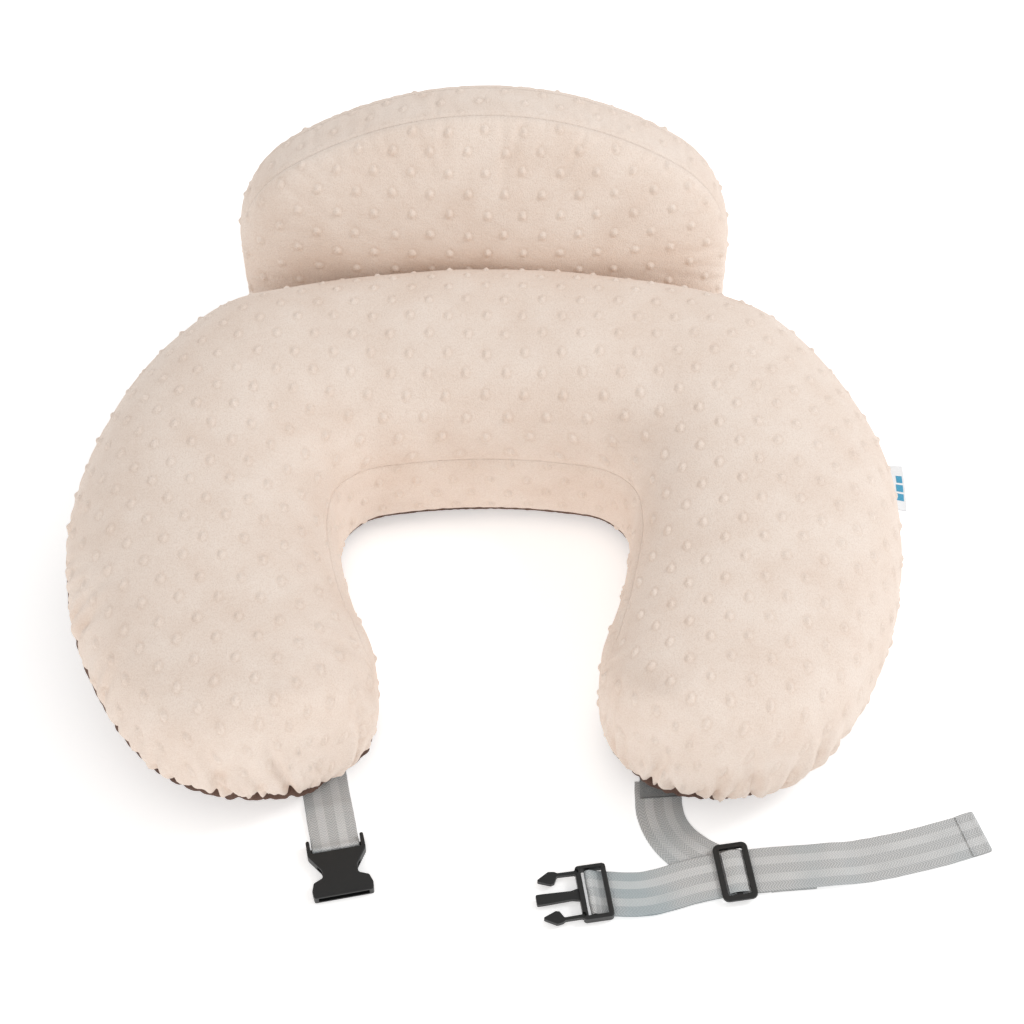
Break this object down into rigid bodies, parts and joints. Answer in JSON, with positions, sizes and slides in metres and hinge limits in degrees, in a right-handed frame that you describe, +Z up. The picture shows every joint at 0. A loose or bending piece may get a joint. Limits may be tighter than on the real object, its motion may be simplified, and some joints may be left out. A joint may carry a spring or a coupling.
{
  "type": "nursing pillow",
  "caption": "U-shaped plush nursing pillow with a half-moon support pillow behind it and an adjustable waist belt with a side-release buckle.",
  "frame": {"origin": "on the floor, under the middle of the back of the U", "axes": "+Z up; +Y to the back, away from the person in the waist opening; +X toward the arm that holds the long belt half"},
  "size_m": [0.7446, 0.687, 0.2495],
  "materials": {
    "minky_light": "matte",
    "plush_brown": "matte",
    "liner_fabric": "matte",
    "fibre_filling": "matte",
    "zip_tape": "matte",
    "zip_coil": "satin",
    "zip_metal": "satin",
    "loop_tape": "matte",
    "hook_tape": "matte",
    "label_fabric": "satin",
    "webbing": "satin",
    "buckle_plastic": "satin"
  },
  "bodies": {
    "main_pillow": {"main_top_panel": "minky_light", "main_inner_gusset": "minky_light", "main_bottom_panel": "plush_brown", "main_liner": "liner_fabric", "main_filling": "fibre_filling", "main_zip_tapes": "zip_tape", "main_zip_coil": "zip_coil", "loop_strip": "loop_tape", "side_label": "label_fabric", "short_strap": "webbing", "long_strap": "webbing"},
    "main_zip_slider_body": {"main_zip_slider": "zip_metal"},
    "main_zip_pull_body": {"main_zip_pull": "zip_metal"},
    "support_pillow": {"support_front_panel": "minky_light", "support_back_panel": "minky_light", "support_gusset": "minky_light", "support_base_panel": "plush_brown", "support_liner": "liner_fabric", "support_filling": "fibre_filling", "hook_strip": "hook_tape", "support_zip_tapes": "zip_tape", "support_zip_coil": "zip_coil"},
    "support_zip_slider_body": {"support_zip_slider": "zip_metal"},
    "support_zip_pull_body": {"support_zip_pull": "zip_metal"},
    "socket_half": {"female_buckle": "buckle_plastic"},
    "plug_half": {"male_buckle": "buckle_plastic"},
    "front_prong_body": {"front_prong": "buckle_plastic"},
    "rear_prong_body": {"rear_prong": "buckle_plastic"},
    "adjuster": {"tri_glide": "buckle_plastic", "tri_glide_strap_turn": "webbing"}
  },
  "joints": [
    {"name": "support_detach", "type": "slide", "parent": "main_pillow", "child": "support_pillow", "axis": [0, 1, 0], "range_m": [0, 0.25]},
    {"name": "main_zip_slide", "type": "hinge", "parent": "main_pillow", "child": "main_zip_slider_body", "pos_m": [0, -0.667, 0.038], "axis": [0, 0, -1], "range_deg": [0, 26.4]},
    {"name": "main_zip_pull_swing", "type": "hinge", "parent": "main_zip_slider_body", "child": "main_zip_pull_body", "pos_m": [-0.17425, 0.07594, 0.0336], "axis": [0.9736, 0.2284, 0], "range_deg": [0, 30]},
    {"name": "support_zip_slide", "type": "slide", "parent": "support_pillow", "child": "support_zip_slider_body", "axis": [1, 0, 0], "range_m": [0, 0.276]},
    {"name": "support_zip_pull_swing", "type": "hinge", "parent": "support_zip_slider_body", "child": "support_zip_pull_body", "pos_m": [-0.138, 0.15955, 0.02061], "axis": [1, 0, 0], "range_deg": [0, 60]},
    {"name": "socket_tilt", "type": "hinge", "parent": "main_pillow", "child": "socket_half", "pos_m": [-0.118, -0.4104, 0.0035], "axis": [-0.9806, -0.1959, 0], "range_deg": [-2, 20]},
    {"name": "plug_tilt", "type": "hinge", "parent": "main_pillow", "child": "plug_half", "pos_m": [0.08442, -0.45099, 0.00515], "axis": [-0.1564, 0.9877, 0], "range_deg": [-3, 7]},
    {"name": "front_prong_flex", "type": "hinge", "parent": "plug_half", "child": "front_prong_body", "pos_m": [0.07791, -0.47126, 0.0053], "axis": [0, 0, -1], "range_deg": [0, 8], "stiffness_Nm_per_rad": 0.01},
    {"name": "rear_prong_flex", "type": "hinge", "parent": "plug_half", "child": "rear_prong_body", "pos_m": [0.07196, -0.43373, 0.0053], "axis": [0, 0, 1], "range_deg": [0, 8], "stiffness_Nm_per_rad": 0.01},
    {"name": "adjuster_slide", "type": "slide", "parent": "main_pillow", "child": "adjuster", "axis": [0.9877, 0.1564, 0], "range_m": [-0.04, 0.05]}
  ]
}
